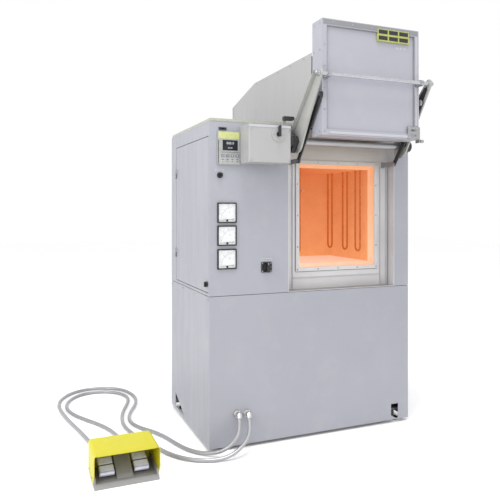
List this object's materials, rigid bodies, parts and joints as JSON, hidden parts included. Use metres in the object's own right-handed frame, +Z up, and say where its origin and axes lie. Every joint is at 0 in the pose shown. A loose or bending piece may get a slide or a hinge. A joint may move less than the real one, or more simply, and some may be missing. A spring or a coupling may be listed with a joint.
{
  "type": "glass kiln",
  "caption": "Floor-standing front-loading glass kiln with a powered parallel-swing door, fume hood, control bay, analogue meters and a guarded foot switch on two armoured hoses.",
  "frame": {"origin": "on the floor under the middle of the main cabinet, halfway across its width and its depth", "axes": "+X to the right as seen from the front, +Y to the back, +Z up; the kiln door faces -Y"},
  "size_m": [1.7489, 1.4947, 2.016],
  "materials": {
    "arm_paint": "satin greenish-grey powder coat",
    "black_plastic": "matte",
    "black_steel": "black paint",
    "bright_steel": "polished",
    "cast_black": "black",
    "dial": "matte white with a printed scale",
    "door_paint": "satin lavender-grey powder coat",
    "element": "oxidised, glowing",
    "fibre_lining": "matte ceramic fibre board",
    "foot_grey": "satin grey",
    "frame_steel": "satin grey",
    "gland": "nickel plated",
    "guard_yellow": "gloss safety yellow",
    "hood_paint": "satin warm light-grey powder coat",
    "hose": "corrugated metal conduit",
    "key_plastic": "satin",
    "lens": "clear",
    "lock_black": "matte",
    "needle": "black",
    "pad_rubber": "matte",
    "panel_paint": "satin light blue-grey powder coat",
    "pedal": "ribbed cast",
    "probe": "matte",
    "relay_plastic": "matte",
    "screen": "gloss",
    "stainless": "brushed",
    "white_plastic": "satin",
    "winding": "varnished core and windings",
    "zinc_steel": "zinc plated"
  },
  "bodies": {
    "root": {"levelling_feet": "pad_rubber", "base_frame": "frame_steel", "lower_front_panel": "panel_paint", "lower_side_panels": "panel_paint", "rear_panels": "panel_paint", "transformer": "winding", "switchgear_front_panel": "panel_paint", "upper_left_panel": "panel_paint", "switchgear_plate": "relay_plastic", "side_door_hinges": "zinc_steel", "controller_case": "white_plastic", "controller_display": "screen", "interface_port": "black_plastic", "meter_cases": "black_plastic", "meter_dials": "dial", "meter_lenses": "lens", "switch_plates": "black_plastic", "right_casing": "panel_paint", "recess_frame": "stainless", "recess_back_plate": "stainless", "chamber_floor": "fibre_lining", "chamber_walls": "fibre_lining", "chamber_roof": "fibre_lining", "heating_elements": "element", "thermocouple": "probe", "top_cover": "panel_paint", "kiln_rear_housing": "panel_paint", "hood_shell": "hood_paint", "drive_housing": "hood_paint", "gear_motor": "cast_black", "bearing_blocks": "cast_black", "limit_switch": "black_plastic", "link_brackets": "zinc_steel", "foot_switch_base": "foot_grey", "foot_switch_guard": "guard_yellow", "cable_glands": "gland", "foot_hose_1": "hose", "foot_hose_2": "hose"},
    "swing_arms": {"drive_arms": "arm_paint", "crossbar": "bright_steel", "torsion_shaft": "zinc_steel", "stop_levers": "cast_black"},
    "kiln_door": {"door_casing": "door_paint", "door_insulation": "fibre_lining", "door_fittings": "zinc_steel"},
    "level_links": {"stabiliser_links": "black_steel"},
    "side_door": {"side_door": "panel_paint"},
    "side_door_lock": {"side_door_lock": "lock_black"},
    "main_switch": {"main_switch_handle": "black_plastic"},
    "key_switch": {"key_switch": "black_plastic"},
    "drive_release": {"drive_release_handle": "black_plastic"},
    "pedal_left": {"pedal_left": "pedal"},
    "pedal_right": {"pedal_right": "pedal"},
    "needle_1": {"meter_needle_1": "needle"},
    "needle_2": {"meter_needle_2": "needle"},
    "needle_3": {"meter_needle_3": "needle"},
    "key_1": {"control_key_1": "key_plastic"},
    "key_2": {"control_key_2": "key_plastic"},
    "key_3": {"control_key_3": "key_plastic"},
    "key_4": {"control_key_4": "key_plastic"}
  },
  "joints": [
    {"name": "arm_swing", "type": "hinge", "parent": "root", "child": "swing_arms", "pos_m": [0.16, -0.424, 1.47], "axis": [1, 0, 0], "range_deg": [0, 140.5]},
    {"name": "door_level", "type": "hinge", "parent": "swing_arms", "child": "kiln_door", "pos_m": [0.16, -0.64502, 1.7529], "axis": [1, 0, 0], "range_deg": [-140.5, 0]},
    {"name": "link_swing", "type": "hinge", "parent": "root", "child": "level_links", "pos_m": [0.16, -0.394, 1.38], "axis": [1, 0, 0], "range_deg": [0, 140.5]},
    {"name": "side_door_hinge", "type": "hinge", "parent": "root", "child": "side_door", "pos_m": [-0.57, 0.246, 1.116], "axis": [0, 0, -1], "range_deg": [0, 110]},
    {"name": "side_door_lock_turn", "type": "hinge", "parent": "side_door", "child": "side_door_lock", "pos_m": [-0.5645, -0.317, 0.787], "axis": [1, 0, 0], "range_deg": [0, 90]},
    {"name": "main_switch_turn", "type": "hinge", "parent": "root", "child": "main_switch", "pos_m": [-0.273, -0.354, 0.86], "axis": [0, 1, 0], "range_deg": [0, 90]},
    {"name": "key_switch_turn", "type": "hinge", "parent": "root", "child": "key_switch", "pos_m": [-0.513, -0.353, 1.302], "axis": [0, 1, 0], "range_deg": [0, 90]},
    {"name": "drive_release_turn", "type": "hinge", "parent": "root", "child": "drive_release", "pos_m": [-0.265, -0.474, 1.492], "axis": [0, 1, 0], "range_deg": [0, 90]},
    {"name": "pedal_left_press", "type": "hinge", "parent": "root", "child": "pedal_left", "pos_m": [-1.049, -0.352, 0.066], "axis": [1, 0, 0], "range_deg": [0, 5], "stiffness_Nm_per_rad": 6, "springref_deg": -14.32},
    {"name": "pedal_right_press", "type": "hinge", "parent": "root", "child": "pedal_right", "pos_m": [-0.903, -0.352, 0.066], "axis": [1, 0, 0], "range_deg": [0, 5], "stiffness_Nm_per_rad": 6, "springref_deg": -14.32},
    {"name": "needle_1_swing", "type": "hinge", "parent": "root", "child": "needle_1", "pos_m": [-0.446, -0.354, 1.093], "axis": [0, 1, 0], "range_deg": [0, 90], "stiffness_Nm_per_rad": 0.004, "springref_deg": -11.46},
    {"name": "needle_2_swing", "type": "hinge", "parent": "root", "child": "needle_2", "pos_m": [-0.446, -0.354, 0.985], "axis": [0, 1, 0], "range_deg": [0, 90], "stiffness_Nm_per_rad": 0.004, "springref_deg": -11.46},
    {"name": "needle_3_swing", "type": "hinge", "parent": "root", "child": "needle_3", "pos_m": [-0.446, -0.354, 0.874], "axis": [0, 1, 0], "range_deg": [0, 90], "stiffness_Nm_per_rad": 0.004, "springref_deg": -11.46},
    {"name": "key_1_press", "type": "slide", "parent": "root", "child": "key_1", "axis": [0, 1, 0], "range_m": [0, 0.0015], "stiffness_N_per_m": 600, "springref_m": -0.0008},
    {"name": "key_2_press", "type": "slide", "parent": "root", "child": "key_2", "axis": [0, 1, 0], "range_m": [0, 0.0015], "stiffness_N_per_m": 600, "springref_m": -0.0008},
    {"name": "key_3_press", "type": "slide", "parent": "root", "child": "key_3", "axis": [0, 1, 0], "range_m": [0, 0.0015], "stiffness_N_per_m": 600, "springref_m": -0.0008},
    {"name": "key_4_press", "type": "slide", "parent": "root", "child": "key_4", "axis": [0, 1, 0], "range_m": [0, 0.0015], "stiffness_N_per_m": 600, "springref_m": -0.0008}
  ],
  "couplings": [
    {"joint": "door_level", "follows": "arm_swing", "ratio": -1},
    {"joint": "link_swing", "follows": "arm_swing", "ratio": 1}
  ]
}
